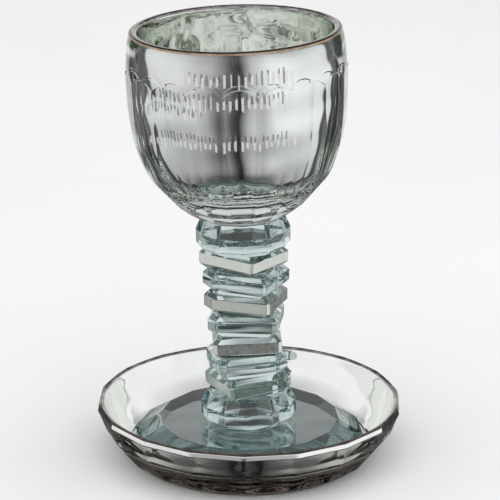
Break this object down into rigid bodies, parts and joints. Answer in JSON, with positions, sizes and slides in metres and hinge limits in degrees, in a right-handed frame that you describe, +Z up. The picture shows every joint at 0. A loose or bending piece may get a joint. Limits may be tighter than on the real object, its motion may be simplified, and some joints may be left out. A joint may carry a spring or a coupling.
{
  "type": "kiddush cup",
  "caption": "Goblet with a silvered fluted bowl on a twisted stem of stacked square crystal plates and a faceted crystal foot, standing loose in a round silvered dish.",
  "frame": {"origin": "middle of the dish's underside, on the surface it stands on", "axes": "+Z up, -Y towards the front; the stem and bowl lean slightly towards -X"},
  "size_m": [0.1148, 0.116, 0.1671],
  "materials": {
    "silvered_glass": "glass silvered on one side, bright, with a dark line at the rim",
    "clear_crystal": "polished clear crystal with a faint green-blue tint",
    "silvered_edge": "clear crystal with a matt silvered band round its edge"
  },
  "bodies": {
    "root": {"dish": "silvered_glass", "foot": "clear_crystal", "lower_bead": "clear_crystal", "plate_1": "silvered_edge", "plate_2": "clear_crystal", "plate_3": "silvered_edge", "plate_4": "clear_crystal", "plate_5": "silvered_edge", "plate_6": "clear_crystal", "plate_7": "silvered_edge", "upper_bead": "clear_crystal", "bowl": "silvered_glass"}
  },
  "joints": []
}
